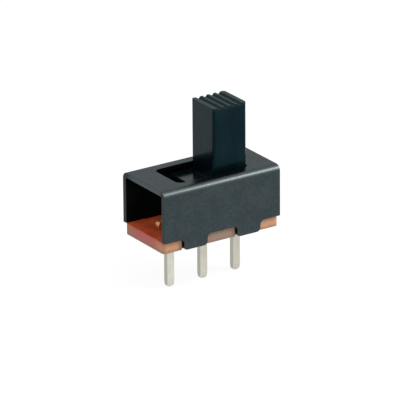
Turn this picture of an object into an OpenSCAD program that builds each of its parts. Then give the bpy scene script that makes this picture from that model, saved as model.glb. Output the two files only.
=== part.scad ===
// Miniature slide switch, one pole and two positions, for a printed circuit board.
// Millimetres. The origin is the middle of the base's underside, which seats on the board.
// X runs along the row of terminals and the slider's travel, Y across the switch, Z up.
// The slider is drawn at its +X position.

/* [Cover] */
// Length of the cover along the row of terminals
cover_len = 10.5; // [9.6:0.1:13]
// Width of the cover over its two side walls
cover_w = 5.7; // [5.2:0.1:7]
// Height of the cover's top above the underside of the base
cover_top = 5; // [4.5:0.05:6]
// Thickness of the sheet steel
sheet_t = 0.4; // [0.3:0.05:0.5]
// Inner radius of the two long bends
bend_inner_r = 0.1; // [0.05:0.05:0.3]

/* [Slot in the cover] */
// Gap between the knob and each long edge of the slot
slot_side_gap = 0.2; // [0.1:0.05:0.4]
// Spare length of the slot past the knob at each end of its travel
slot_end_gap = 0.1; // [0.05:0.05:0.4]
// Radius of the slot's corners
slot_corner_r = 0.5; // [0.1:0.05:0.9]

/* [Tabs of the cover] */
// Width of each of the four tabs
tab_w = 2.1; // [1.4:0.1:2.6]
// Distance between the two tabs of one side, centre to centre
tab_spacing = 4.8; // [3.6:0.1:6]
// Radius of a tab's lower corners
tab_corner_r = 0.3; // [0.1:0.05:0.5]
// Radius of the inner corners where a tab meets its wall
tab_root_r = 0.35; // [0.15:0.05:0.45]
// Height of the crimped tip of a tab
crimp_h = 0.35; // [0.2:0.05:0.6]
// How far the tip is crimped in under the base
crimp_in = 0.05; // [0.05:0.05:0.3]

/* [Base] */
// Thickness of the phenolic base
base_t = 0.9; // [0.8:0.05:1.3]
// How far the base's long sides lie inside the cover's outer faces
base_side_inset = 0.25; // [0.05:0.05:0.3]
// How far the base's ends lie inside the cover's ends
base_end_inset = 0.05; // [0:0.05:0.4]
// Radius of the base's corners
base_corner_r = 0.25; // [0.1:0.05:0.6]
// Gap between a tab and each end of its notch
notch_end_gap = 0.08; // [0.05:0.01:0.3]
// Gap between a tab and the floor of its notch
notch_floor_gap = 0.03; // [0.01:0.01:0.08]

/* [Terminals] */
// Distance between neighbouring terminals
pitch = 3; // [2.6:0.1:3.3]
// Width of a terminal's pin along the row
pin_w = 0.65; // [0.4:0.05:1]
// Thickness of the strip that the terminals are stamped from
pin_t = 0.45; // [0.3:0.05:0.6]
// Length of a pin below the base
pin_len = 3.9; // [2.5:0.1:6]
// Radius of the corners of a pin's tip
tip_r = 0.25; // [0.05:0.01:0.29]
// Height of the thinned end of a pin
tip_h = 0.5; // [0.2:0.05:1]
// How much each face of the thinned end slopes in
tip_in = 0.07; // [0.02:0.01:0.12]
// Height of a terminal's contact head above the base
head_h = 0.7; // [0.6:0.05:1.2]
// Gap between neighbouring contact heads
head_gap = 0.9; // [0.4:0.05:1]
// Radius of a contact head's corners
head_r = 0.3; // [0.1:0.05:0.4]
// Gap between a pin and the walls of its hole in the base
pin_gap = 0.02; // [0.01:0.01:0.05]

/* [Knob] */
// Length of the knob along its travel
knob_len = 3; // [2.2:0.1:3.4]
// Width of the knob across its travel
knob_w = 3; // [2.2:0.1:3.4]
// Height of the knob above the cover
knob_rise = 5.15; // [2:0.05:9]
// Radius of the knob's upright edges
knob_edge_r = 0.2; // [0.05:0.01:0.4]
// Number of finger ridges across the knob's top
ridge_count = 5; // [3:1:6]
// Depth of the grooves between the ridges
ridge_depth = 0.15; // [0.1:0.05:0.4]
// Width of a ridge's crest
crest_w = 0.2; // [0.1:0.05:0.25]
// Distance from the knob's end to the middle of the first crest
crest_inset = 0.3; // [0.15:0.05:0.35]
// Width of a groove's floor
groove_floor_w = 0.16; // [0.06:0.02:0.2]

/* [Carriage] */
// How much further than one terminal the slider travels
extra_travel = 0.2; // [0:0.05:0.4]
// Gap between the carriage and each side wall of the cover
carriage_side_gap = 0.1; // [0.05:0.05:0.2]
// Gap between the carriage and the underside of the cover's top
carriage_top_gap = 0.17; // [0.05:0.01:0.3]
// Gap between the carriage and the base
carriage_floor_gap = 0.06; // [0.03:0.01:0.15]
// Room between the carriage and the cover's end at each end of the travel
carriage_end_room = 0.3; // [0.2:0.05:1.2]
// Radius of the carriage's upright edges
carriage_corner_r = 0.25; // [0.05:0.05:0.5]
// Gap between a contact head and each wall of the channel that it runs in
channel_side_gap = 0.18; // [0.12:0.01:0.25]
// Gap between the contact heads and the channel's ceiling
channel_top_gap = 0.15; // [0.1:0.05:0.4]

/* [Contact clip] */
// Thickness of the clip's spring strip
clip_t = 0.2; // [0.15:0.01:0.25]
// Inner radius of the clip's bends
clip_bend_r = 0.12; // [0.05:0.01:0.2]
// Height of the clip from the tips of its legs to its back
clip_h = 1.9; // [1.6:0.05:2.1]
// Gap between the clip's legs and the base
clip_floor_gap = 0.12; // [0.08:0.01:0.2]
// How far each dimple stands in towards the contact heads
dimple_h = 0.18; // [0.15:0.01:0.22]
// Radius of a dimple where it leaves the leg
dimple_foot_r = 0.34; // [0.3:0.01:0.36]
// Gap between a dimple's crown and the contact head
contact_gap = 0.02; // [0.01:0.01:0.04]
// Height of the strip left below each dimple
dimple_edge = 0.06; // [0.04:0.01:0.12]
// How far in from the middle head's edge a dimple sits in the end positions
dimple_in = 0.32; // [0.25:0.01:0.45]
// Length of strip past the outer dimples
clip_end = 0.6; // [0.4:0.05:0.8]
// Gap between the clip and the walls of its pocket
clip_gap = 0.02; // [0.01:0.01:0.05]

/* [Hidden] */
$fn = 48;
cut = 1;                                  // how far a cut runs past the face it opens

STEEL = "#3d484b";
PHENOLIC = "#8e4229";
SILVER = "#c9c5b6";
BLACK = "#1a2427";
BRONZE = "#b8834f";

bend_outer_r = bend_inner_r + sheet_t;
inner_w = cover_w - 2 * sheet_t;          // between the side walls
ceiling = cover_top - sheet_t;            // underside of the cover's top

travel = pitch + extra_travel;
rest_x = travel / 2;
slot_len = travel + knob_len + 2 * slot_end_gap;
slot_w = knob_w + 2 * slot_side_gap;

base_len = cover_len - 2 * base_end_inset;
base_w = cover_w - 2 * base_side_inset;
notch_len = tab_w + 2 * notch_end_gap;
notch_floor = inner_w / 2 - notch_floor_gap;
notch_root_r = max(tab_root_r - notch_end_gap, notch_end_gap / 2);    // clears a tab's root

head_w = pitch - head_gap;
head_top = base_t + head_h;
head_corner_r = min(head_r, 0.45 * head_h);    // a low head takes smaller corners
tip_corner_r = min(tip_r, 0.45 * pin_w);       // and so does a narrow pin

carriage_len = cover_len - travel - 2 * carriage_end_room;
carriage_w = inner_w - 2 * carriage_side_gap;
carriage_top = ceiling - carriage_top_gap;
carriage_floor = base_t + carriage_floor_gap;
channel_w = pin_t + 2 * channel_side_gap;
channel_top = head_top + channel_top_gap;
knob_top = cover_top + knob_rise;
crest_spacing = (knob_len - 2 * crest_inset) / (ridge_count - 1);

dimple_spacing = head_gap + extra_travel + 2 * dimple_in;
dimple_r = (pow(dimple_foot_r, 2) + pow(dimple_h, 2)) / (2 * dimple_h);
leg_inner = pin_t / 2 + contact_gap + dimple_h;
clip_w = 2 * (leg_inner + clip_t);
clip_len = dimple_spacing + 2 * clip_end;
clip_floor = base_t + clip_floor_gap;
clip_top = clip_floor + clip_h;
dimple_z = clip_floor + dimple_edge + dimple_foot_r;

// A flat rectangle with four rounded corners, centred on the origin
module rounded_rect(len, wid, r) {
    square([len - 2 * r, wid], center = true);
    square([len, wid - 2 * r], center = true);
    for (sx = [-1, 1], sy = [-1, 1])
        translate([sx * (len / 2 - r), sy * (wid / 2 - r)]) circle(r);
}

// A flat upright outline standing on the X axis, with its two upper corners rounded
module arch(wid, high, r) {
    translate([-wid / 2, 0]) square([wid, high - r]);
    translate([-wid / 2 + r, 0]) square([wid - 2 * r, high]);
    for (sx = [-1, 1]) translate([sx * (wid / 2 - r), high - r]) circle(r);
}

// The two flat fillets beside a strip of a given width, which widen it up to a given height
module roots(wid, high, r) {
    for (side = [0, 1]) mirror([side, 0]) difference() {
        translate([wid / 2, high - r]) square([r, r + cut]);
        translate([wid / 2 + r, high - r]) circle(r);
    }
}

// Extrudes a section drawn across and up (Y, Z) along X, centred on the origin
module along_x(len) {
    rotate([90, 0, 90]) linear_extrude(len, center = true) children();
}

// Extrudes a face drawn along and up (X, Z) across Y, centred on the origin
module across_y(wid) {
    rotate([90, 0, 0]) linear_extrude(wid, center = true) children();
}

// ---- cover: one folded sheet, a channel open at both ends with a slot in its top ----

module cover() {
    color(STEEL) {
        difference() {
            along_x(cover_len) difference() {
                translate([0, base_t]) arch(cover_w, cover_top - base_t, bend_outer_r);
                translate([0, base_t - cut])
                    arch(inner_w, ceiling - base_t + cut, bend_inner_r);
            }
            translate([0, 0, ceiling - cut])
                linear_extrude(sheet_t + 2 * cut) rounded_rect(slot_len, slot_w, slot_corner_r);
        }
        for (sx = [-1, 1], side = [0, 1])
            translate([sx * tab_spacing / 2, 0, 0]) mirror([0, side, 0]) cover_tab();
    }
}

// A tab of the +Y wall: its root laps into the wall, and it runs straight down through its
// notch to a tip that is crimped in
module cover_tab() {
    lap = base_t + tab_root_r;
    intersection() {
        along_x(tab_w + 2 * tab_root_r) polygon([
            [cover_w / 2, lap], [cover_w / 2, crimp_h], [cover_w / 2 - crimp_in, 0],
            [inner_w / 2 - crimp_in, 0], [inner_w / 2, crimp_h], [inner_w / 2, lap]]);
        across_y(cover_w + 2 * cut) {
            mirror([0, 1]) translate([0, -base_t - cut]) arch(tab_w, base_t + cut, tab_corner_r);
            roots(tab_w, base_t, tab_root_r);
        }
    }
}

// ---- base: a punched plate with a bevelled notch for each tab and a hole for each pin ----

module base() {
    color(PHENOLIC) difference() {
        linear_extrude(base_t) rounded_rect(base_len, base_w, base_corner_r);
        for (sx = [-1, 1], side = [0, 1])
            translate([sx * tab_spacing / 2, 0, 0]) mirror([0, side, 0]) tab_notch();
        for (place = [-1, 0, 1])
            translate([place * pitch, 0, base_t / 2])
                cube([pin_w + 2 * pin_gap, pin_t + 2 * pin_gap, base_t + 2 * cut], center = true);
    }
}

// The cut for a tab of the +Y wall, sloped like the crimped tip and flared like the root
module tab_notch() {
    slope = crimp_in / crimp_h;
    intersection() {
        along_x(notch_len + 2 * notch_root_r) polygon([
            [notch_floor, base_t + cut], [notch_floor, crimp_h],
            [notch_floor - crimp_in - cut * slope, -cut],
            [cover_w / 2 + cut, -cut], [cover_w / 2 + cut, base_t + cut]]);
        across_y(cover_w + 4 * cut) {
            translate([-notch_len / 2, -2 * cut]) square([notch_len, base_t + 4 * cut]);
            roots(notch_len, base_t, notch_root_r);
        }
    }
}

// ---- terminals: flat stampings, a pin below the base and a wide contact head above it ----

module terminal(x) {
    color(SILVER) translate([x, 0, 0]) {
        translate([0, 0, base_t + head_h / 2]) across_y(pin_t) rounded_rect(head_w, head_h, head_corner_r);
        intersection() {
            across_y(pin_t) mirror([0, 1]) translate([0, -base_t - head_h / 2])
                arch(pin_w, pin_len + base_t + head_h / 2, tip_corner_r);
            along_x(pin_w + cut) pin_side();
        }
    }
}

// A pin seen from its narrow side, with both faces sloping in towards the tip
module pin_side() {
    half = pin_t / 2;
    polygon([
        [half, head_top], [half, tip_h - pin_len], [half - tip_in, -pin_len],
        [tip_in - half, -pin_len], [-half, tip_h - pin_len], [-half, head_top]]);
}

module terminal_left() { terminal(-pitch); }
module terminal_middle() { terminal(0); }
module terminal_right() { terminal(pitch); }

// ---- slider: the knob and the carriage that runs inside the cover, one moulding ----

module slider() {
    color(BLACK) translate([rest_x, 0, 0]) difference() {
        union() {
            translate([0, 0, carriage_floor]) linear_extrude(carriage_top - carriage_floor)
                rounded_rect(carriage_len, carriage_w, carriage_corner_r);
            translate([0, 0, clip_top]) linear_extrude(knob_top - clip_top)
                rounded_rect(knob_len, knob_w, knob_edge_r);
        }
        knob_grooves();
        channel_h = channel_top - carriage_floor + cut;
        translate([0, 0, channel_top - channel_h / 2])
            cube([carriage_len + 2 * cut, channel_w, channel_h], center = true);
        pocket_h = clip_top - carriage_floor + cut;
        translate([0, 0, clip_top - pocket_h / 2])
            cube([clip_len + 2 * clip_gap, clip_w + 2 * clip_gap, pocket_h], center = true);
    }
}

// The grooves that leave the finger ridges across the knob's top
module knob_grooves() {
    open = (crest_spacing - crest_w) / 2;
    rise = (open - groove_floor_w / 2) * cut / ridge_depth;
    for (i = [0 : ridge_count - 2])
        translate([(i + 0.5) * crest_spacing + crest_inset - knob_len / 2, 0, knob_top])
            across_y(knob_w + 2 * cut) polygon([
                [-groove_floor_w / 2, -ridge_depth], [groove_floor_w / 2, -ridge_depth],
                [open + rise, cut], [-open - rise, cut]]);
}

// ---- contact clip: a sprung channel that pinches two neighbouring contact heads ----

module contact_clip() {
    color(BRONZE) translate([rest_x, 0, 0]) {
        difference() {
            along_x(clip_len) difference() {
                translate([0, clip_floor]) arch(clip_w, clip_h, clip_bend_r + clip_t);
                translate([0, clip_floor - cut])
                    arch(2 * leg_inner, clip_h - clip_t + cut, clip_bend_r);
            }
            each_dimple() sphere(dimple_r - clip_t);
        }
        difference() {
            intersection() {
                each_dimple() sphere(dimple_r);
                translate([0, 0, dimple_z])
                    cube([clip_len, 2 * leg_inner + clip_t, 2 * dimple_r], center = true);
            }
            each_dimple() sphere(dimple_r - clip_t);
        }
    }
}

// Puts its child at the centre of each dimple's ball
module each_dimple() {
    for (sx = [-1, 1], sy = [-1, 1])
        translate([sx * dimple_spacing / 2, sy * (leg_inner - dimple_h + dimple_r), dimple_z])
            children();
}

cover();
base();
terminal_left();
terminal_middle();
terminal_right();
slider();
contact_clip();
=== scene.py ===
"""Soft-edged pieces, finishes and a plain studio stage for the slide switch.

Sizes are in metres in the settings. Pieces are modelled in millimetres, where every
tool works well within its limits, and are brought to metres when they are finished.
"""

import math

import bmesh
import bpy
from bpy.props import FloatProperty, FloatVectorProperty, IntProperty, PointerProperty
from mathutils import Matrix, Vector


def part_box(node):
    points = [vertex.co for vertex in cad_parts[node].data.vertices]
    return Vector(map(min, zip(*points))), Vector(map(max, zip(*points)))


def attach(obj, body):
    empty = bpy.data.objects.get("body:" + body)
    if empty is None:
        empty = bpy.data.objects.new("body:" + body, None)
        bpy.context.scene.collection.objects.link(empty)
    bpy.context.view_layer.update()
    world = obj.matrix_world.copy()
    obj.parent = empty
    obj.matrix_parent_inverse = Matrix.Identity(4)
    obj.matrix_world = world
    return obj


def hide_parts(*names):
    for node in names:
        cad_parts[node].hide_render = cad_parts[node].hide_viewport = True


bl_info = {
    "name": "Slide switch",
    "version": (1, 0, 0),
    "blender": (4, 5, 0),
    "location": "3D View > Sidebar > Slide switch",
    "description": "Builds the pieces, finishes and stage of a miniature slide switch",
    "category": "Object",
}

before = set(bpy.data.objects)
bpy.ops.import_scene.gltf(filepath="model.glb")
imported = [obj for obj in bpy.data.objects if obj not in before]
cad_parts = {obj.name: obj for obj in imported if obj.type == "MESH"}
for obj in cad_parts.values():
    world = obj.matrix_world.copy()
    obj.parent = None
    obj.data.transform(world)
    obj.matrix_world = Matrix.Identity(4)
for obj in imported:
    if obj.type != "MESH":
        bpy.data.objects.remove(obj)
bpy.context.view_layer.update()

COVER_LOW, COVER_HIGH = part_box("cover")
BASE_LOW, BASE_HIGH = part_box("base")
PIN_LOW, PIN_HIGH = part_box("terminal_middle")
RIGHT_PIN_LOW, RIGHT_PIN_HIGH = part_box("terminal_right")
SLIDER_LOW, SLIDER_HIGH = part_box("slider")
CLIP_LOW, CLIP_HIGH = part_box("contact_clip")

# modelling, in millimetres
MM_PER_METRE = 1000.0
NEAR = 0.002  # two places this close count as the same
PAST = 1.0  # how far a cutter reaches past the face it opens
SPLIT_NEAR = 0.0001  # a cut that passes this close to a point uses it
MERGE_NEAR = 0.0005  # a finished piece's points this close become one
NEAR_METRES = 0.00001  # the same as NEAR for a finished piece, in metres
STRAIGHT = 0.999  # the least share of its length that an edge runs along its axis

# how far a face looks along an axis, from 0 to 1
SQUARE_ON = 0.9  # the least for a face that looks along it
CUT_END = 0.8  # the least for a cut end of the cover's sheet, along the cover
IN_CHANNEL = 0.5  # the most for an inner face of the cover, along the cover
SLOT_WALL = 0.3  # the most for a wall of the slot, upwards

# rounding and softening
BEND_SEGMENTS = 10  # faces round each long bend of the cover
SLOT_SEGMENTS = 8  # faces round each corner of the slot
CORNER_SEGMENTS = 6  # faces round the other cut and moulded corners
SMALL_CORNER_SEGMENTS = 5  # faces round the knob's corners and the roots of the notches
SOFT_SEGMENTS = 3  # faces across a softened edge
FLAT_ANGLE = math.radians(0.5)  # faces that meet within this angle become one
SHARP_ANGLE = math.radians(35)  # an edge that turns by more is softened

# finishes: the ranges over which a colour or the roughness changes
BROAD = (0.30, 0.70)  # most of a noise
UPPER = (0.35, 0.70)  # its middle and upper part
FIBROUS = (0.30, 0.72)  # most of the laminate's fibres
SIDEWAYS = (0.35, 0.80)  # how squarely a face looks to the side

# the stage, with its lengths in metres
FLOOR_RADIUS = 1.5
FLOOR_POINTS = 96
FLOOR_ROUGHNESS = 0.9
WHITE = (1.0, 1.0, 1.0, 1.0)
FLOOR_GLOW = 1.08  # how brightly the floor's white shows where it is seen
FLOOR_GLOW_SHARE = 0.86  # how far that white covers the shade of the floor itself
LAMPS_AIM = (0.0, 0.0, 0.003)
OVERHEAD_LAMP = {"place": (0.0, -0.030, 0.150), "width": 0.120, "depth": 0.120}
KEY_LAMP = {"place": (0.079, -0.055, 0.068), "width": 0.036, "depth": 0.050}
SIDE_LAMP = {"place": (-0.140, -0.040, 0.050), "width": 0.080, "depth": 0.080}
SENSOR_WIDTH = 36.0  # millimetres, as the lens is
NEAREST_SEEN, FARTHEST_SEEN = 0.01, 10.0


# ---- settings ----


def size(name, description, default):
    """A length in metres."""
    return FloatProperty(
        name=name, description=description, default=default, min=0.0, precision=5, unit="LENGTH"
    )


def colour(name, description, default):
    """A linear colour."""
    return FloatVectorProperty(
        name=name, description=description, default=default,
        size=3, min=0.0, max=1.0, subtype="COLOR",
    )


def number(name, description, default, high):
    """A plain number from 0 up."""
    return FloatProperty(name=name, description=description, default=default, min=0.0, max=high)


class SWITCH_PG_cover(bpy.types.PropertyGroup):
    """The folded steel cover."""

    length: size("Length", "Length along the row of terminals", COVER_HIGH.x - COVER_LOW.x)
    width: size("Width", "Width over the two side walls", COVER_HIGH.y - COVER_LOW.y)
    top: size("Top", "Height of the top above the board", COVER_HIGH.z)
    sheet: size("Sheet", "Thickness of the sheet", 0.0004)
    bend: size("Bend", "Outer radius of the two long bends", 0.0005)
    slot_length: size("Slot length", "Length of the slot in the top", 0.0064)
    slot_width: size("Slot width", "Width of the slot in the top", 0.0034)
    slot_corner: size("Slot corner", "Radius of the slot's corners", 0.0005)
    tab_width: size("Tab width", "Width of each of the four tabs", 0.0021)
    tab_spacing: size("Tab spacing", "Distance between the two tabs of one side", 0.0048)
    tab_corner: size("Tab corner", "Radius of a tab's lower corners", 0.0003)
    tab_root: size("Tab root", "Radius of the inner corners where a tab meets its wall", 0.00035)
    crimp_height: size("Crimp height", "Height of the crimped tip of a tab", 0.00035)
    crimp_in: size("Crimp depth", "How far the tip is crimped in", 0.00005)
    soft_edge: size("Soft edge", "Radius of the sheet's cut edges", 0.00005)
    steel: colour("Steel", "Satin dark slate finish", (0.0375, 0.0520, 0.0565))
    steel_pale: colour("Pale steel", "Paler flecks in the finish", (0.0510, 0.0670, 0.0720))
    # Paler colour on the long bends: a painted highlight
    bend_painted_highlight: colour("Rubbed steel", "The rubbed bends along the top", (0.0490, 0.0580, 0.0585))
    gloss: colour("Gloss", "How the finish shines at a glancing angle", (0.68, 0.68, 0.68))
    # A darker colour for the cut ends at the walls: painted shade
    cut_end_painted_shade: colour("Cut steel", "The sheet's barest cut ends", (0.009, 0.0095, 0.009))
    # Near black on the cover's inner faces and the slot's walls: painted shade
    painted_shade_steel: colour("Dull steel", "The cover's inner faces", (0.0008, 0.0014, 0.0014))


class SWITCH_PG_base(bpy.types.PropertyGroup):
    """The punched phenolic base."""

    length: size("Length", "Length along the row of terminals", BASE_HIGH.x - BASE_LOW.x)
    width: size("Width", "Width across the switch", BASE_HIGH.y - BASE_LOW.y)
    thickness: size("Thickness", "Thickness of the plate", BASE_HIGH.z)
    corner: size("Corner", "Radius of the plate's corners", 0.00025)
    notch_end_gap: size("Notch end gap", "Gap between a tab and its notch's ends", 0.00008)
    notch_floor_gap: size("Notch floor gap", "Gap between a tab and its notch's floor", 0.00003)
    hole_gap: size("Hole gap", "Gap between a pin and the walls of its hole", 0.00002)
    soft_edge: size("Soft edge", "Radius of the punched edges", 0.0001)
    face: colour("Face", "The pressed faces of the laminate", (0.570, 0.087, 0.030))
    side: colour("Side", "The punched long sides", (0.382, 0.185, 0.097))
    # Greyer colour in the middle of the long sides: painted shade
    side_painted_shade: colour("Grey side", "The duller middle of the long sides", (0.222, 0.147, 0.100))
    end: colour("End", "The punched ends", (0.312, 0.077, 0.063))
    drawn_edge: colour("Drawn edge", "The upper edges of the ends", (0.380, 0.062, 0.034))
    # Darker colour along the lower edges of the punched sides: painted shade
    foot_painted_shade: colour("Foot", "The lower edges of the punched sides", (0.170, 0.088, 0.060))
    # Tan toward the back of the punched ends: painted light
    end_painted_light: colour("Tan end", "The tan part of the punched ends", (0.246, 0.123, 0.059))


class SWITCH_PG_terminals(bpy.types.PropertyGroup):
    """The three stamped terminals."""

    spacing: size("Spacing", "Distance between neighbouring terminals",
                  (RIGHT_PIN_LOW.x + RIGHT_PIN_HIGH.x) / 2)
    strip: size("Strip", "Thickness of the strip", PIN_HIGH.y - PIN_LOW.y)
    head_width: size("Head width", "Width of the contact head", PIN_HIGH.x - PIN_LOW.x)
    head_corner: size("Head corner", "Radius of the head's corners", 0.0003)
    pin_width: size("Pin width", "Width of the pin along the row", 0.00065)
    pin_tip: size("Pin tip", "Depth of the tip below the board's face", -PIN_LOW.z)
    tip_corner: size("Tip corner", "Radius of the corners of the tip", 0.00025)
    tip_height: size("Tip height", "Height of the thinned end", 0.0005)
    tip_in: size("Tip slope", "How much each face of the thinned end slopes in", 0.00007)
    soft_edge: size("Soft edge", "Radius of the sheared edges", 0.000035)
    silver: colour("Silver", "Satin silver plating", (0.690, 0.682, 0.588))
    dull_silver: colour("Dull silver", "Duller patches of the plating", (0.613, 0.605, 0.511))
    # The heads' orange brass is partly a painted reflection of the red-brown base
    brass: colour("Brass", "The bare contact heads", (0.600, 0.300, 0.130))


class SWITCH_PG_slider(bpy.types.PropertyGroup):
    """The knob and the carriage under it."""

    length: size("Length", "Length of the carriage", SLIDER_HIGH.x - SLIDER_LOW.x)
    width: size("Width", "Width of the carriage", SLIDER_HIGH.y - SLIDER_LOW.y)
    floor: size("Floor", "Height of the carriage's underside", SLIDER_LOW.z)
    carriage_top: size("Carriage top", "Height of the carriage's top", 0.00443)
    corner: size("Corner", "Radius of the carriage's upright edges", 0.00025)
    knob_length: size("Knob length", "Length of the knob along its travel", 0.0030)
    knob_width: size("Knob width", "Width of the knob across its travel", 0.0030)
    knob_top: size("Knob top", "Height of the knob's top", SLIDER_HIGH.z)
    knob_corner: size("Knob corner", "Radius of the knob's upright edges", 0.0002)
    ridges: IntProperty(
        name="Ridges", description="Finger ridges across the knob's top", default=5, min=3,
    )
    ridge_depth: size("Ridge depth", "Depth of the grooves between the ridges", 0.00015)
    crest: size("Crest", "Width of a ridge's crest", 0.0002)
    crest_inset: size("Crest inset", "From the knob's end to the middle of the first crest", 0.0003)
    groove_floor: size("Groove floor", "Width of a groove's floor", 0.00016)
    channel_width: size("Channel width", "Width of the channel over the contact heads", 0.00081)
    channel_top: size("Channel top", "Height of the channel's ceiling", 0.00175)
    pocket_gap: size("Pocket gap", "Gap between the clip and the walls of its pocket", 0.00002)
    soft_edge: size("Soft edge", "Radius of the moulded edges", 0.000025)
    # The carriage's black is darker than the knob's as painted shade
    black: colour("Black", "Glossy black plastic", (0.0007, 0.0022, 0.0030))
    knob_black: colour("Knob black", "The knob, paler than the carriage", (0.0011, 0.0036, 0.0051))
    # Paler colour at the top of the knob
    knob_top_tone: colour("Worn", "The ridges that the finger rubs", (0.0040, 0.0090, 0.0100))
    gloss: colour("Gloss", "Tint of the black plastic's gloss", (0.22, 0.80, 1.0))
    bronze: colour("Bronze", "The contact clip's spring strip", (0.620, 0.380, 0.200))


class SWITCH_PG_stage(bpy.types.PropertyGroup):
    """The floor, the lamps and the camera."""

    azimuth: FloatProperty(name="Azimuth", description="Where the camera stands, round the switch",
                           default=math.radians(-33.48), subtype="ANGLE")
    elevation: FloatProperty(name="Elevation", description="How far the camera looks down",
                             default=math.radians(21.47), subtype="ANGLE")
    roll: FloatProperty(name="Roll", description="The camera's turn about its own axis",
                        default=math.radians(-0.41), subtype="ANGLE")
    distance: size("Distance", "From the camera to the point that it looks at", 0.3779)
    lens: number("Lens", "Focal length in millimetres", 450.0, 2000.0)
    aim: FloatVectorProperty(name="Aim", description="The point that the camera looks at",
                             default=(-0.00022, -0.00009, 0.00249), size=3, subtype="TRANSLATION")
    overhead: number("Overhead", "Radiance of the large lamp overhead", 3.6, 50.0)
    key: number("Key", "Radiance of the small lamp at the front right", 29.0, 50.0)
    side: number("Side", "Radiance of the lamp at the left", 3.0, 50.0)
    surround: number("Surround", "Brightness of the room that lights the switch", 0.53, 5.0)
    floor: colour("Floor", "The pale floor", (0.50, 0.50, 0.50))


# ---- modelling ----


def mm(length):
    """Metres to the millimetres that pieces are modelled in."""
    return length * MM_PER_METRE


def leave_edit_mode():
    """Goes back to object mode, if a piece is being edited."""
    if bpy.context.object is not None and bpy.context.object.mode != "OBJECT":
        bpy.ops.object.mode_set(mode="OBJECT")


def only(piece):
    """Makes a piece the one that is selected and active."""
    leave_edit_mode()
    bpy.ops.object.select_all(action="DESELECT")
    piece.select_set(True)
    bpy.context.view_layer.objects.active = piece


def block(name, low, high):
    """A box between two corners, the start of a piece or of a cutter."""
    leave_edit_mode()
    bpy.ops.object.select_all(action="DESELECT")
    low, high = Vector(low), Vector(high)
    bpy.ops.mesh.primitive_cube_add(size=1, location=(low + high) / 2)
    piece = bpy.context.object
    piece.name = piece.data.name = name
    piece.scale = high - low
    bpy.ops.object.transform_apply(location=True, rotation=True, scale=True)
    return piece


def pick(piece, kind, test):
    """In edit mode, selects the vertices, edges or faces that pass a test, and nothing else."""
    if piece.mode != "EDIT":
        only(piece)
        bpy.ops.object.mode_set(mode="EDIT")
    bpy.ops.mesh.select_mode(type=kind)
    bpy.ops.mesh.select_all(action="DESELECT")
    mesh = bmesh.from_edit_mesh(piece.data)
    mesh.normal_update()
    found = {"VERT": mesh.verts, "EDGE": mesh.edges, "FACE": mesh.faces}[kind]
    chosen = [part for part in found if test(part)]
    if not chosen:
        raise RuntimeError(f"{piece.name}: nothing of kind {kind} was found to work on")
    for part in chosen:
        part.select_set(True)
    mesh.select_flush_mode()
    bmesh.update_edit_mesh(piece.data)


def runs(edge, axis):
    """True if an edge runs along an axis, 0 for X, 1 for Y and 2 for Z."""
    step = edge.verts[1].co - edge.verts[0].co
    return step.length > NEAR and abs(step[axis]) > STRAIGHT * step.length


def at(value, *places):
    """True if a coordinate is at one of these places."""
    return any(abs(value - place) < NEAR for place in places)


def looks_up(face):
    """True if a face looks straight up."""
    return face.normal.z > SQUARE_ON


def looks_down(face):
    """True if a face looks straight down."""
    return face.normal.z < -SQUARE_ON


def round_edges(piece, radius, segments, test):
    """Rounds the edges that pass a test."""
    pick(piece, "EDGE", test)
    bpy.ops.mesh.bevel(
        offset_type="OFFSET", offset=radius, segments=segments, profile=0.5, affect="EDGES",
    )


def cut_across(piece, test, point, normal):
    """Divides the faces that pass a test along a plane."""
    pick(piece, "FACE", test)
    bpy.ops.mesh.bisect(plane_co=point, plane_no=normal, threshold=SPLIT_NEAR)


def draw_out(offset):
    """Extrudes the picked faces."""
    bpy.ops.mesh.extrude_region_move(TRANSFORM_OT_translate={"value": offset})


def shift(offset):
    """Moves what is picked."""
    bpy.ops.transform.translate(value=offset)


def apply_modifier(piece, kind, **values):
    """Adds a modifier with these values and applies it."""
    only(piece)
    modifier = piece.modifiers.new(kind.lower(), kind)
    for name, value in values.items():
        setattr(modifier, name, value)
    bpy.ops.object.modifier_apply(modifier=modifier.name)


def combine(piece, other, operation):
    """Cuts another shape out of a piece, or joins it on, and removes that shape."""
    apply_modifier(piece, "BOOLEAN", object=other, operation=operation, solver="EXACT")
    mesh = other.data
    bpy.data.objects.remove(other)
    bpy.data.meshes.remove(mesh)


def copy_along(piece, offset, name):
    """A copy of a piece with a mesh of its own, moved by an offset."""
    only(piece)
    bpy.ops.object.duplicate(linked=False)
    twin = bpy.context.object
    twin.name = twin.data.name = name
    shift(offset)
    bpy.ops.object.transform_apply(location=True, rotation=False, scale=False)
    return twin


def finish_piece(piece, soft_edge):
    """Softens the sharp edges, shades the faces and brings the piece to metres."""
    only(piece)
    bpy.ops.object.mode_set(mode="EDIT")
    bpy.ops.mesh.select_mode(type="VERT")
    bpy.ops.mesh.select_all(action="SELECT")
    bpy.ops.mesh.remove_doubles(threshold=MERGE_NEAR)
    bpy.ops.mesh.dissolve_limited(angle_limit=FLAT_ANGLE)
    bpy.ops.mesh.normals_make_consistent(inside=False)
    leave_edit_mode()
    apply_modifier(
        piece, "BEVEL", width=soft_edge, segments=SOFT_SEGMENTS,
        limit_method="ANGLE", angle_limit=SHARP_ANGLE,
        miter_outer="MITER_ARC", use_clamp_overlap=True,
    )
    bpy.ops.object.shade_smooth_by_angle(angle=SHARP_ANGLE)
    apply_modifier(piece, "WEIGHTED_NORMAL", mode="FACE_AREA", weight=50, keep_sharp=True)
    piece.scale = [1.0 / MM_PER_METRE] * 3
    bpy.ops.object.transform_apply(location=True, rotation=True, scale=True)


def fit_to_frame(piece, body, node, finish):
    """Gives a piece its finish and its body, and hides the CAD node that it stands for."""
    piece.data.materials.clear()
    piece.data.materials.append(finish)
    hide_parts(node)
    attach(piece, body)


# ---- finishes ----


def toned(tint, factor):
    """A colour made darker or paler by a factor, and held at white."""
    return tuple(min(1.0, factor * part) for part in tint)


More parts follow.
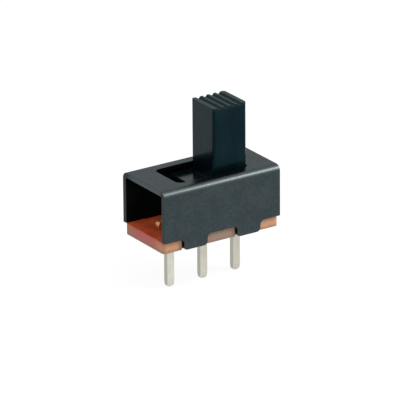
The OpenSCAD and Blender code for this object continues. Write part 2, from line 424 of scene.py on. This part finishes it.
class Finish:
    """A material under construction: its node tree and its main shader."""

    def __init__(self, name):
        self.material = bpy.data.materials.new(name)
        self.material.use_nodes = True
        self.tree = self.material.node_tree
        self.tree.nodes.clear()
        self.output = self.node("ShaderNodeOutputMaterial")
        self.shader = self.node("ShaderNodeBsdfPrincipled")
        self.link(self.shader.outputs["BSDF"], self.output.inputs["Surface"])
        self.coords = self.node("ShaderNodeTexCoord")

    def node(self, kind, **values):
        """Adds a node with these settings."""
        made = self.tree.nodes.new(kind)
        for name, value in values.items():
            setattr(made, name, value)
        return made

    def link(self, out, into):
        """Joins one node's output to another one's input."""
        self.tree.links.new(out, into)

    def set(self, **values):
        """Sets the shader's own sockets, named with underscores for spaces."""
        for name, value in values.items():
            self.shader.inputs[name.replace("_", " ")].default_value = value

    def stretch(self, scale):
        """Object coordinates in millimetres, stretched along each axis."""
        mapping = self.node("ShaderNodeMapping", vector_type="POINT")
        mapping.inputs["Scale"].default_value = [MM_PER_METRE * part for part in scale]
        self.link(self.coords.outputs["Object"], mapping.inputs["Vector"])
        return mapping.outputs["Vector"]

    def noise(self, scale, detail=3.0, roughness=0.5, stretch=(1, 1, 1)):
        """Cloudy noise with a number of features per millimetre, from 0 to 1."""
        noise = self.node("ShaderNodeTexNoise", noise_dimensions="3D")
        noise.inputs["Scale"].default_value = scale
        noise.inputs["Detail"].default_value = detail
        noise.inputs["Roughness"].default_value = roughness
        self.link(self.stretch(stretch), noise.inputs["Vector"])
        return noise.outputs["Fac"]

    def spread(self, value, source, target=(0.0, 1.0)):
        """Maps a value smoothly from one range to another one, and holds it at the ends."""
        ramp = self.node("ShaderNodeMapRange", clamp=True, interpolation_type="SMOOTHSTEP")
        for names, numbers in ((("From Min", "From Max"), source), (("To Min", "To Max"), target)):
            for name, number in zip(names, numbers):
                ramp.inputs[name].default_value = number
        self.link(value, ramp.inputs["Value"])
        return ramp.outputs["Result"]

    def maths(self, operation, *values):
        """Works out one step of arithmetic on numbers and sockets."""
        made = self.node("ShaderNodeMath", operation=operation)
        for socket, value in zip(made.inputs, values):
            if isinstance(value, (int, float)):
                socket.default_value = value
            else:
                self.link(value, socket)
        return made.outputs["Value"]

    def total(self, first, second, weight):
        """One value, and a share of a second one added to it."""
        return self.maths("ADD", first, self.maths("MULTIPLY", second, weight))

    def blend(self, factor, first, second):
        """Mixes two colours, each a colour or a socket."""
        mix = self.node("ShaderNodeMix", data_type="RGBA", blend_type="MIX")
        self.link(factor, mix.inputs[0])
        for socket, value in ((mix.inputs[6], first), (mix.inputs[7], second)):
            if isinstance(value, bpy.types.NodeSocket):
                self.link(value, socket)
            else:
                socket.default_value = (*value, 1.0)
        return mix.outputs[2]

    def layer(self, factor, first, second):
        """Mixes two shaders."""
        mix = self.node("ShaderNodeMixShader")
        for socket, value in zip(mix.inputs, (factor, first, second)):
            self.link(value, socket)
        return mix.outputs["Shader"]

    def facing(self, axis):
        """How squarely a face looks along an axis, from 0 to 1."""
        parts = self.node("ShaderNodeSeparateXYZ")
        self.link(self.coords.outputs["Normal"], parts.inputs["Vector"])
        return self.maths("ABSOLUTE", parts.outputs[axis])

    def along(self, axis, sway=0.0, scale=0.6):
        """The place along an axis in millimetres, made uneven by up to half of sway."""
        parts = self.node("ShaderNodeSeparateXYZ")
        self.link(self.stretch((1, 1, 1)), parts.inputs["Vector"])
        place = parts.outputs[axis]
        if sway:
            uneven = self.maths("SUBTRACT", self.noise(scale), 0.5)
            place = self.total(place, uneven, sway)
        return place

    def relief(self, height, depth, strength):
        """Bumps the surface by a height from 0 to 1, over a depth in millimetres."""
        bump = self.node("ShaderNodeBump")
        bump.inputs["Strength"].default_value = strength
        bump.inputs["Distance"].default_value = depth / MM_PER_METRE
        self.link(height, bump.inputs["Height"])
        self.link(bump.outputs["Normal"], self.shader.inputs["Normal"])

    def paint(self, colour_out):
        """Gives the surface its colour."""
        self.link(colour_out, self.shader.inputs["Base Color"])

    def polish(self, roughness_out):
        """Gives the surface its roughness."""
        self.link(roughness_out, self.shader.inputs["Roughness"])


def satin_steel(cover):
    """Dark slate satin over sheet steel, finely flecked, with a painted highlight of paler colour
    along the bends, which are also rougher.
    """
    finish = Finish("satin_slate_steel")
    clouds = finish.noise(0.9, detail=2.0)
    flecks = finish.noise(5.0, detail=4.0, roughness=0.65)
    ripple = finish.noise(2.5, detail=1.0)
    mixed = finish.total(finish.maths("MULTIPLY", clouds, 0.35), flecks, 0.65)
    skin = finish.blend(finish.spread(mixed, (0.38, 0.64)), cover.steel, cover.steel_pale)
    # On the bends: a paler colour, which is a painted highlight, and a higher roughness
    slant = finish.maths("MULTIPLY", finish.facing("Y"), finish.facing("Z"))
    bent = finish.spread(slant, (0.05, 0.25))
    finish.paint(finish.blend(bent, skin, cover.bend_painted_highlight))
    finish.polish(finish.total(finish.spread(flecks, BROAD, (0.22, 0.28)), bent, 0.11))
    finish.relief(finish.total(ripple, flecks, 0.1), depth=0.004, strength=0.20)
    finish.set(Metallic=1.0, Specular_Tint=(*cover.gloss, 1.0))
    return finish.material


def sheared_steel(cover):
    """The cut ends of the sheet, rougher than its skin, and darkened as painted shade at the front
    wall and toward the back wall.
    """
    finish = Finish("sheared_steel_ends")
    grain = finish.noise(6.0, stretch=(1, 1, 0.4))
    dark = finish.blend(finish.spread(grain, UPPER), cover.steel, cover.steel_pale)
    # Painted shade: the cut ends darken at the front wall and toward the back wall
    front_painted_shade = finish.spread(finish.along("Y", sway=0.3), (-2.25, -2.5), (0.0, 0.85))
    back_painted_shade = finish.spread(finish.along("Y", sway=1.2), (1.2, 2.5))
    bare = finish.maths("MAXIMUM", front_painted_shade, back_painted_shade)
    finish.paint(finish.blend(bare, dark, cover.cut_end_painted_shade))
    finish.polish(finish.spread(grain, BROAD, (0.42, 0.58)))
    finish.relief(grain, depth=0.006, strength=0.4)
    finish.set(Metallic=0.0, IOR=1.28)
    return finish.material


def painted_shade_steel(cover):
    """The inner faces of the cover, made near black with a dull gloss as painted shade."""
    finish = Finish("painted_shade_inner_steel")
    clouds = finish.noise(1.1)
    paler = toned(cover.painted_shade_steel, 1.7)
    finish.paint(finish.blend(finish.spread(clouds, UPPER), cover.painted_shade_steel, paler))
    finish.polish(finish.spread(clouds, UPPER, (0.55, 0.70)))
    finish.relief(clouds, depth=0.010, strength=0.3)
    finish.set(Metallic=0.0, IOR=1.12)
    return finish.material


def laminate_ends(finish, base, fibres):
    """The colour of the punched ends, which changes across them and up them, with painted light in
    tan toward the back.
    """
    fibrous = finish.spread(fibres, FIBROUS)
    # Painted light: the ends turn tan toward the back
    tan = finish.spread(finish.along("Y", sway=1.6), (0.9, 2.3))
    front = finish.spread(finish.along("Y", sway=1.0), (-1.1, -2.3))
    upper = finish.spread(finish.along("Z", sway=0.2, scale=2.0), (0.50, 0.88), (0.0, 0.75))
    end = finish.blend(fibrous, base.end, toned(base.end, 1.25))
    end = finish.blend(tan, end, base.end_painted_light)
    end = finish.blend(front, end, base.side)
    return finish.blend(upper, end, base.drawn_edge)


def laminate_sides(finish, base, fibres):
    """The colour of the punched long sides, with painted shade in their middle."""
    fibrous = finish.spread(fibres, FIBROUS)
    # Painted shade: the long sides turn greyer in their middle
    from_left = finish.spread(finish.along("X", sway=0.8), (-2.2, -1.2))
    to_right = finish.spread(finish.along("X", sway=0.8), (1.6, 0.9))
    side = finish.blend(fibrous, base.side, toned(base.side, 1.22))
    return finish.blend(finish.maths("MULTIPLY", from_left, to_right), side, base.side_painted_shade)


def phenolic_laminate(base):
    """Red-brown pressed faces, and paler fibrous sides where the plate was punched."""
    finish = Finish("phenolic_laminate")
    clouds = finish.noise(0.8, roughness=0.6)
    fibres = finish.noise(3.5, detail=4.0, roughness=0.7, stretch=(1, 1, 3.5))
    layers = finish.noise(1.6, detail=2.0, stretch=(0.25, 0.25, 7.0))
    face = finish.blend(finish.spread(clouds, UPPER), toned(base.face, 0.64), base.face)
    side = laminate_sides(finish, base, fibres)
    end = laminate_ends(finish, base, fibres)
    punched = finish.blend(finish.spread(finish.facing("X"), SIDEWAYS), side, end)
    # Painted shade: the punched sides darken toward their lower edge
    foot_painted_shade = finish.spread(finish.along("Z", sway=0.2, scale=2.0), (0.36, 0.05), (0.0, 0.55))
    punched = finish.blend(foot_painted_shade, punched, base.foot_painted_shade)
    seams = finish.spread(layers, (0.58, 0.72), (0.0, 0.35))
    punched = finish.blend(seams, punched, toned(base.side, 0.55))
    flat = finish.spread(finish.facing("Z"), (0.45, 0.85))
    finish.paint(finish.blend(flat, punched, face))
    finish.polish(finish.spread(flat, (0.0, 1.0), (0.60, 0.34)))
    rough_side = finish.maths("SUBTRACT", 1.0, finish.maths("MULTIPLY", flat, 0.85))
    height = finish.maths("MULTIPLY", finish.total(fibres, layers, 0.8), rough_side)
    finish.relief(height, depth=0.030, strength=0.6)
    finish.set(Metallic=0.0, IOR=1.52)
    return finish.material


def silver_plate(terminals):
    """Satin silver plating with drawn lines down the pins, painted shade toward the right and on
    the sheared sides, and brass on the bare heads, partly a painted reflection of the base.
    """
    finish = Finish("silver_plate")
    clouds = finish.noise(1.3, roughness=0.6)
    lines = finish.noise(9.0, roughness=0.6, stretch=(1, 1, 0.06))
    grain = finish.noise(14.0, detail=2.0)
    patches = finish.total(finish.maths("MULTIPLY", clouds, 0.6), lines, 0.4)
    patchy = finish.spread(patches, (0.40, 0.62))
    plate = finish.blend(patchy, terminals.dull_silver, terminals.silver)
    # Painted shade: the plating darkens toward the right
    duller = finish.spread(finish.along("X", sway=1.0), (-3.6, 3.4), (0.0, 0.60))
    plate = finish.blend(duller, plate, toned(terminals.dull_silver, 0.72))
    # Painted shade: the sheared sides, which face along the row, are darker
    sheared = finish.spread(finish.facing("X"), SIDEWAYS)
    plate = finish.blend(sheared, plate, toned(terminals.silver, 0.60))
    # On the heads, brass whose orange is partly a painted reflection of the base
    head = finish.spread(finish.along("Z"), (0.80, 0.90))
    finish.paint(finish.blend(head, plate, terminals.brass))
    finish.polish(finish.spread(patches, (0.35, 0.65), (0.44, 0.32)))
    finish.relief(finish.total(lines, grain, 0.4), depth=0.006, strength=0.5)
    finish.set(Metallic=0.85)
    return finish.material


def black_plastic(slider):
    """Glossy black moulded plastic with a faint flow pattern, darker on the carriage than on the
    knob as painted shade, and paler and rougher at the top of the knob.
    """
    finish = Finish("black_plastic")
    flow = finish.noise(0.7, detail=2.0, stretch=(1, 1, 0.45))
    skin = finish.noise(4.5, roughness=0.6)
    height = finish.along("Z")
    deck, top = mm(slider.carriage_top), mm(slider.knob_top)
    cloudy = finish.spread(flow, UPPER)
    carriage = finish.blend(cloudy, slider.black, toned(slider.black, 2.0))
    knob = finish.blend(cloudy, slider.knob_black, toned(slider.knob_black, 2.0))
    # Painted shade: the carriage is a darker black than the knob
    carriage_shade_and_knob = finish.blend(finish.spread(height, (deck + 0.3, deck + 2.0)), carriage, knob)
    knob_top_band = finish.spread(height, (top - 0.35, top - 0.10))
    finish.paint(finish.blend(knob_top_band, carriage_shade_and_knob, slider.knob_top_tone))
    finish.polish(finish.total(finish.spread(skin, BROAD, (0.15, 0.20)), knob_top_band, 0.26))
    finish.relief(finish.total(flow, skin, 0.2), depth=0.003, strength=0.15)
    finish.set(Metallic=0.0, IOR=1.23, Specular_Tint=(*slider.gloss, 1.0))
    return finish.material


def spring_bronze(slider):
    """Rolled bronze strip."""
    finish = Finish("spring_bronze")
    lines = finish.noise(10.0, stretch=(0.06, 1, 1))
    clouds = finish.noise(1.2, detail=2.0)
    tarnished = toned(slider.bronze, 0.6)
    finish.paint(finish.blend(finish.spread(clouds, (0.38, 0.66)), tarnished, slider.bronze))
    finish.polish(finish.spread(lines, BROAD, (0.26, 0.40)))
    finish.relief(lines, depth=0.004, strength=0.4)
    finish.set(Metallic=1.0)
    return finish.material


# ---- the pieces ----


class SWITCH_OT_cover(bpy.types.Operator):
    """Model the folded steel cover with its slot and its four crimped tabs"""

    bl_idname = "switch.cover"
    bl_label = "Cover"

    def execute(self, context):
        s, base = context.scene.switch_cover, context.scene.switch_base
        half_x, half_y, top = mm(s.length) / 2, mm(s.width) / 2, mm(s.top)
        sheet, seat = mm(s.sheet), mm(base.thickness)

        cover = block("steel_cover", (-half_x, -half_y, seat), (half_x, half_y, top))
        round_edges(cover, mm(s.bend), BEND_SEGMENTS,
                    lambda e: runs(e, 0) and at(e.verts[0].co.z, top))
        pick(cover, "FACE", lambda f: abs(f.normal.x) > SQUARE_ON or looks_down(f))
        bpy.ops.mesh.delete(type="FACE")
        apply_modifier(cover, "SOLIDIFY", thickness=sheet, offset=-1.0,
                       use_even_offset=True, use_rim=True)
        self.add_tabs(cover, s, half_y, seat)

        hole_x, hole_y = mm(s.slot_length) / 2, mm(s.slot_width) / 2
        hole = block("slot_cutter", (-hole_x, -hole_y, top - PAST), (hole_x, hole_y, top + PAST))
        round_edges(hole, mm(s.slot_corner), SLOT_SEGMENTS, lambda e: runs(e, 2))
        combine(cover, hole, "DIFFERENCE")

        finish_piece(cover, mm(s.soft_edge))
        fit_to_frame(cover, "housing", "cover", satin_steel(s))
        self.finish_inside_and_ends(cover, s)
        return {"FINISHED"}

    def finish_inside_and_ends(self, cover, s):
        """Gives the faces inside, and the sheet's cut ends, finishes of their own, both with
        painted shade.
        """
        cover.data.materials.append(painted_shade_steel(s))
        cover.data.materials.append(sheared_steel(s))
        wall, ceiling = s.width / 2 - s.sheet + NEAR_METRES, s.top - s.sheet + NEAR_METRES
        slot_x, slot_y = s.slot_length / 2 + NEAR_METRES, s.slot_width / 2 + NEAR_METRES
        end = s.length / 2 - s.soft_edge

        def inside(face):
            """True on the inner faces of the channel and on the walls of the slot."""
            place = face.calc_center_median()
            along, upwards = abs(face.normal.x), abs(face.normal.z)
            in_channel = abs(place.y) < wall and place.z < ceiling and along < IN_CHANNEL
            in_slot = abs(place.x) < slot_x and abs(place.y) < slot_y and upwards < SLOT_WALL
            return in_channel or in_slot

        def cut_end(face):
            """True on the sheet's cut ends, without their softened edges."""
            return abs(face.normal.x) > CUT_END and abs(face.calc_center_median().x) > end

        for index, test in enumerate((inside, cut_end), start=1):
            pick(cover, "FACE", test)
            cover.active_material_index = index
            bpy.ops.object.material_slot_assign()
        leave_edit_mode()

    def add_tabs(self, cover, s, half_y, seat):
        """Draws four tabs down from the walls and crimps their tips in."""
        middle, half, crimp = mm(s.tab_spacing) / 2, mm(s.tab_width) / 2, mm(s.crimp_height)
        inner, outer = middle - half, middle + half

        def lower_edge(face):
            """True on the walls' lower faces."""
            return looks_down(face) and at(face.calc_center_median().z, seat)

        def tab_root(face, side):
            """True on the lower faces that the tabs of one side are drawn from."""
            place = face.calc_center_median()
            return lower_edge(face) and inner < abs(place.x) < outer and side * place.y > 0

        for place in (-outer, -inner, inner, outer):
            cut_across(cover, lower_edge, (place, 0, 0), (1, 0, 0))
        for side in (-1, 1):
            pick(cover, "FACE", lambda f: tab_root(f, side))
            draw_out((0, 0, crimp - seat))
            draw_out((0, -side * mm(s.crimp_in), -crimp))
        round_edges(cover, mm(s.tab_corner), CORNER_SEGMENTS,
                    lambda e: runs(e, 1) and at(e.verts[0].co.z, 0.0))
        round_edges(cover, mm(s.tab_root), CORNER_SEGMENTS,
                    lambda e: runs(e, 1) and at(e.verts[0].co.z, seat)
                    and at(abs(e.verts[0].co.x), inner, outer))


class SWITCH_OT_base(bpy.types.Operator):
    """Model the punched base with its notches and the holes for the pins"""

    bl_idname = "switch.base"
    bl_label = "Base"

    def execute(self, context):
        s = context.scene.switch_base
        half_x, half_y, thick = mm(s.length) / 2, mm(s.width) / 2, mm(s.thickness)
        base = block("laminate_base", (-half_x, -half_y, 0), (half_x, half_y, thick))
        round_edges(base, mm(s.corner), CORNER_SEGMENTS, lambda e: runs(e, 2))
        self.cut_notches(base, s, context.scene.switch_cover, half_y, thick)
        self.cut_holes(base, s, context.scene.switch_terminals, thick)
        finish_piece(base, mm(s.soft_edge))
        fit_to_frame(base, "housing", "base", phenolic_laminate(s))
        return {"FINISHED"}

    def cut_notches(self, base, s, cover, half_y, thick):
        """Cuts a notch for each tab, which slopes in where the tab is crimped."""
        floor = mm(cover.width) / 2 - mm(cover.sheet) - mm(s.notch_floor_gap)
        half_notch = mm(cover.tab_width) / 2 + mm(s.notch_end_gap)
        middle, crimp = mm(cover.tab_spacing) / 2, mm(cover.crimp_height)
        slope = mm(cover.crimp_in) / crimp
        for side in (-1, 1):
            for place in (-middle, middle):
                wall, past = sorted((side * floor, side * (half_y + PAST)))
                notch = block("notch_cutter", (place - half_notch, wall, -PAST),
                              (place + half_notch, past, thick + PAST))
                cut_across(notch, lambda f: True, (0, 0, crimp), (0, 0, 1))
                pick(notch, "VERT", lambda v: at(v.co.z, -PAST) and at(v.co.y, side * floor))
                shift((0, -side * slope * (crimp + PAST), 0))
                combine(base, notch, "DIFFERENCE")
        ends = [side * (middle + half * half_notch) for side in (-1, 1) for half in (-1, 1)]
        root = mm(cover.tab_root) - mm(s.notch_end_gap)
        round_edges(base, root, SMALL_CORNER_SEGMENTS,
                    lambda e: runs(e, 1) and at(e.verts[0].co.z, thick)
                    and at(e.verts[0].co.x, *ends))

    def cut_holes(self, base, s, pins, thick):
        """Cuts a hole for each pin."""
        hole_x = mm(pins.pin_width) / 2 + mm(s.hole_gap)
        hole_y = mm(pins.strip) / 2 + mm(s.hole_gap)
        for place in (-1, 0, 1):
            x = place * mm(pins.spacing)
            hole = block("hole_cutter", (x - hole_x, -hole_y, -PAST),
                         (x + hole_x, hole_y, thick + PAST))
            combine(base, hole, "DIFFERENCE")


class SWITCH_OT_terminals(bpy.types.Operator):
    """Model one stamped terminal, and copy it to the three places in the row"""

    bl_idname = "switch.terminals"
    bl_label = "Terminals"

    def execute(self, context):
        s, base = context.scene.switch_terminals, context.scene.switch_base
        half_head, half_pin = mm(s.head_width) / 2, mm(s.pin_width) / 2
        half_strip = mm(s.strip) / 2
        seat, head_top = mm(base.thickness), mm(PIN_HIGH.z)
        tip, thin = mm(s.pin_tip), mm(s.tip_height)

        middle = block("terminal_strip", (-half_head, -half_strip, seat),
                       (half_head, half_strip, head_top))
        round_edges(middle, mm(s.head_corner), CORNER_SEGMENTS, lambda e: runs(e, 1))
        for place in (-half_pin, half_pin):
            cut_across(middle, looks_down, (place, 0, 0), (1, 0, 0))
        pick(middle, "FACE", lambda f: looks_down(f) and at(f.calc_center_median().x, 0.0))
        draw_out((0, 0, thin - tip - seat))
        draw_out((0, 0, -thin))
        for side in (-1, 1):
            pick(middle, "VERT", lambda v: at(v.co.z, -tip) and at(v.co.y, side * half_strip))
            shift((0, -side * mm(s.tip_in), 0))
        round_edges(middle, mm(s.tip_corner), CORNER_SEGMENTS,
                    lambda e: runs(e, 1) and at(e.verts[0].co.z, -tip))

        step = mm(s.spacing)
        strips = {
            "terminal_left": copy_along(middle, (-step, 0, 0), "silver_terminal_left"),
            "terminal_right": copy_along(middle, (step, 0, 0), "silver_terminal_right"),
            "terminal_middle": middle,
        }
        middle.name = middle.data.name = "silver_terminal_middle"
        plate = silver_plate(s)
        for node, strip in strips.items():
            finish_piece(strip, mm(s.soft_edge))
            fit_to_frame(strip, "housing", node, plate)
        return {"FINISHED"}


class SWITCH_OT_slider(bpy.types.Operator):
    """Model the ridged knob and its carriage, and give the clip under it its finish"""

    bl_idname = "switch.slider"
    bl_label = "Slider"

    def execute(self, context):
        s = context.scene.switch_slider
        rest = mm(SLIDER_LOW.x + SLIDER_HIGH.x) / 2
        half_x, half_y = mm(s.length) / 2, mm(s.width) / 2
        floor, deck, top = mm(s.floor), mm(s.carriage_top), mm(s.knob_top)
        knob_x, knob_y = mm(s.knob_length) / 2, mm(s.knob_width) / 2

        slider = block("black_slider", (rest - half_x, -half_y, floor),
                       (rest + half_x, half_y, deck))
        round_edges(slider, mm(s.corner), CORNER_SEGMENTS, lambda e: runs(e, 2))

        knob = block("knob", (rest - knob_x, -knob_y, deck - PAST), (rest + knob_x, knob_y, top))
        round_edges(knob, mm(s.knob_corner), SMALL_CORNER_SEGMENTS, lambda e: runs(e, 2))
        self.groove(knob, s, rest, top)
        combine(slider, knob, "UNION")

        half_channel, ceiling = mm(s.channel_width) / 2, mm(s.channel_top)
        channel = block("channel_cutter", (rest - half_x - PAST, -half_channel, floor - PAST),
                        (rest + half_x + PAST, half_channel, ceiling))
        combine(slider, channel, "DIFFERENCE")
        gap = mm(s.pocket_gap)
        pocket = block("pocket_cutter", (mm(CLIP_LOW.x) - gap, mm(CLIP_LOW.y) - gap, floor - PAST),
                       (mm(CLIP_HIGH.x) + gap, mm(CLIP_HIGH.y) + gap, mm(CLIP_HIGH.z)))
        combine(slider, pocket, "DIFFERENCE")

        finish_piece(slider, mm(s.soft_edge))
        fit_to_frame(slider, "slider", "slider", black_plastic(s))
        self.finish_clip(s)
        return {"FINISHED"}

    def finish_clip(self, s):
        """Gives the contact clip, whose shape is the frame's own, its finish."""
        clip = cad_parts["contact_clip"]
        bronze = spring_bronze(s)
        if not clip.material_slots:
            clip.data.materials.append(bronze)
        for place in clip.material_slots:
            place.material = bronze

    def groove(self, knob, s, rest, top):
        """Sinks the grooves between the finger ridges into the knob's top."""
        first = rest - mm(s.knob_length) / 2 + mm(s.crest_inset)
        pitch = (mm(s.knob_length) - 2 * mm(s.crest_inset)) / (s.ridges - 1)
        half_open, half_floor = (pitch - mm(s.crest)) / 2, mm(s.groove_floor) / 2
        for i in range(s.ridges - 1):
            middle = first + (i + 0.5) * pitch
            for place in (-half_open, -half_floor, half_floor, half_open):
                cut_across(knob, lambda f: looks_up(f) and at(f.calc_center_median().z, top),
                           (middle + place, 0, 0), (1, 0, 0))
            pick(knob, "FACE", lambda f: looks_up(f) and at(f.calc_center_median().x, middle))
            shift((0, 0, -mm(s.ridge_depth)))


# ---- the stage ----


def looking(azimuth, elevation, roll):
    """The way back to a camera from what it looks at, and the camera's turn."""
    level = math.cos(elevation)
    back = Vector((math.sin(azimuth) * level, -math.cos(azimuth) * level, math.sin(elevation)))
    turn = (-back).to_track_quat("-Z", "Y").to_matrix() @ Matrix.Rotation(roll, 3, "Z")
    return back, turn.to_euler()


def seen_plainly(tree):
    """1 for what is seen, straight or in gloss and glass, and 0 for the light it throws."""
    rays = tree.nodes.new("ShaderNodeLightPath")
    seen = rays.outputs["Is Camera Ray"]
    for kind in ("Is Glossy Ray", "Is Transmission Ray"):
        either = tree.nodes.new("ShaderNodeMath")
        either.operation = "MAXIMUM"
        tree.links.new(seen, either.inputs[0])
        tree.links.new(rays.outputs[kind], either.inputs[1])
        seen = either.outputs["Value"]
    return seen


def soft_lamp(name, radiance, place, width, depth):
    """A flat oblong lamp that looks at the switch, and looks white itself at radiance 1."""
    leave_edit_mode()
    bpy.ops.object.select_all(action="DESELECT")
    turn = (Vector(LAMPS_AIM) - Vector(place)).to_track_quat("-Z", "Y").to_euler()
    bpy.ops.object.light_add(type="AREA", location=place, rotation=turn)
    lamp = bpy.context.object
    lamp.name = lamp.data.name = name
    lamp.data.shape = "RECTANGLE"
    lamp.data.size, lamp.data.size_y = width, depth
    lamp.data.energy = radiance * math.pi * width * depth


class SWITCH_OT_stage(bpy.types.Operator):
    """Lay the pale floor, hang the lamps and set up the camera"""

    bl_idname = "switch.stage"
    bl_label = "Stage"

    def execute(self, context):
        s = context.scene.switch_stage
        self.lay_floor(s, -context.scene.switch_terminals.pin_tip)
        soft_lamp("overhead_lamp", s.overhead, **OVERHEAD_LAMP)
        soft_lamp("key_lamp", s.key, **KEY_LAMP)
        soft_lamp("side_lamp", s.side, **SIDE_LAMP)
        self.light_room(context, s)
        self.place_camera(context, s)
        context.scene.view_settings.view_transform = "Standard"
        return {"FINISHED"}

    def lay_floor(self, s, height):
        """A wide pale floor, which is white to the eye but keeps the soft shadow."""
        leave_edit_mode()
        bpy.ops.object.select_all(action="DESELECT")
        bpy.ops.mesh.primitive_circle_add(
            vertices=FLOOR_POINTS, radius=FLOOR_RADIUS, fill_type="NGON", location=(0, 0, height),
        )
        floor = bpy.context.object
        floor.name = "floor"
        bpy.ops.object.transform_apply(location=True, rotation=True, scale=True)
        floor.data.materials.append(self.pale_floor(s))

    def pale_floor(self, s):
        """The floor's finish, which is clear from below."""
        finish = Finish("pale_floor")
        finish.set(Base_Color=(*s.floor, 1.0), Roughness=FLOOR_ROUGHNESS, Specular_IOR_Level=0.0)
        glow = finish.node("ShaderNodeEmission")
        glow.inputs["Color"].default_value = WHITE
        glow.inputs["Strength"].default_value = FLOOR_GLOW
        clear = finish.node("ShaderNodeBsdfTransparent")
        seen = finish.maths("MULTIPLY", seen_plainly(finish.tree), FLOOR_GLOW_SHARE)
        below = finish.node("ShaderNodeNewGeometry").outputs["Backfacing"]
        above = finish.layer(seen, finish.shader.outputs["BSDF"], glow.outputs["Emission"])
        both = finish.layer(below, above, clear.outputs["BSDF"])
        finish.link(both, finish.output.inputs["Surface"])
        return finish.material

    def place_camera(self, context, s):
        """Sets up the camera that looks at the switch from the front left."""
        back, turn = looking(s.azimuth, s.elevation, s.roll)
        bpy.ops.object.camera_add(location=Vector(s.aim) + back * s.distance, rotation=turn)
        camera = bpy.context.object
        camera.name = "camera"
        camera.data.lens = s.lens
        camera.data.sensor_width = SENSOR_WIDTH
        camera.data.clip_start, camera.data.clip_end = NEAREST_SEEN, FARTHEST_SEEN
        context.scene.camera = camera

    def light_room(self, context, s):
        """A soft even light from all round, which is white where it is seen."""
        world = bpy.data.worlds.new("soft_room")
        context.scene.world = world
        world.use_nodes = True
        tree = world.node_tree
        tree.nodes.clear()
        output = tree.nodes.new("ShaderNodeOutputWorld")
        room = tree.nodes.new("ShaderNodeBackground")
        room.inputs["Color"].default_value = WHITE
        level = tree.nodes.new("ShaderNodeMapRange")
        level.inputs["To Min"].default_value = s.surround
        level.inputs["To Max"].default_value = 1.0
        tree.links.new(seen_plainly(tree), level.inputs["Value"])
        tree.links.new(level.outputs["Result"], room.inputs["Strength"])
        tree.links.new(room.outputs["Background"], output.inputs["Surface"])


class SWITCH_PT_panel(bpy.types.Panel):
    """The pieces of the switch and their settings"""

    bl_idname = "SWITCH_PT_panel"
    bl_label = "Slide switch"
    bl_space_type = "VIEW_3D"
    bl_region_type = "UI"
    bl_category = "Slide switch"

    def draw(self, context):
        for operator, settings in STEPS:
            box = self.layout.box()
            box.operator(operator)
            group = getattr(context.scene, settings)
            for name in group.__annotations__:
                box.prop(group, name)


STEPS = (
    ("switch.cover", "switch_cover"),
    ("switch.base", "switch_base"),
    ("switch.terminals", "switch_terminals"),
    ("switch.slider", "switch_slider"),
    ("switch.stage", "switch_stage"),
)
GROUPS = {
    "switch_cover": SWITCH_PG_cover,
    "switch_base": SWITCH_PG_base,
    "switch_terminals": SWITCH_PG_terminals,
    "switch_slider": SWITCH_PG_slider,
    "switch_stage": SWITCH_PG_stage,
}
CLASSES = (
    *GROUPS.values(),
    SWITCH_OT_cover,
    SWITCH_OT_base,
    SWITCH_OT_terminals,
    SWITCH_OT_slider,
    SWITCH_OT_stage,
    SWITCH_PT_panel,
)


def register():
    for cls in CLASSES:
        bpy.utils.register_class(cls)
    for name, group in GROUPS.items():
        setattr(bpy.types.Scene, name, PointerProperty(type=group))


def unregister():
    for name in GROUPS:
        delattr(bpy.types.Scene, name)
    for cls in reversed(CLASSES):
        bpy.utils.unregister_class(cls)


def main():
    """Builds every piece and the stage."""
    register()
    bpy.ops.switch.cover()
    bpy.ops.switch.base()
    bpy.ops.switch.terminals()
    bpy.ops.switch.slider()
    bpy.ops.switch.stage()
    leave_edit_mode()
    bpy.ops.object.select_all(action="DESELECT")


if __name__ == "__main__":
    main()
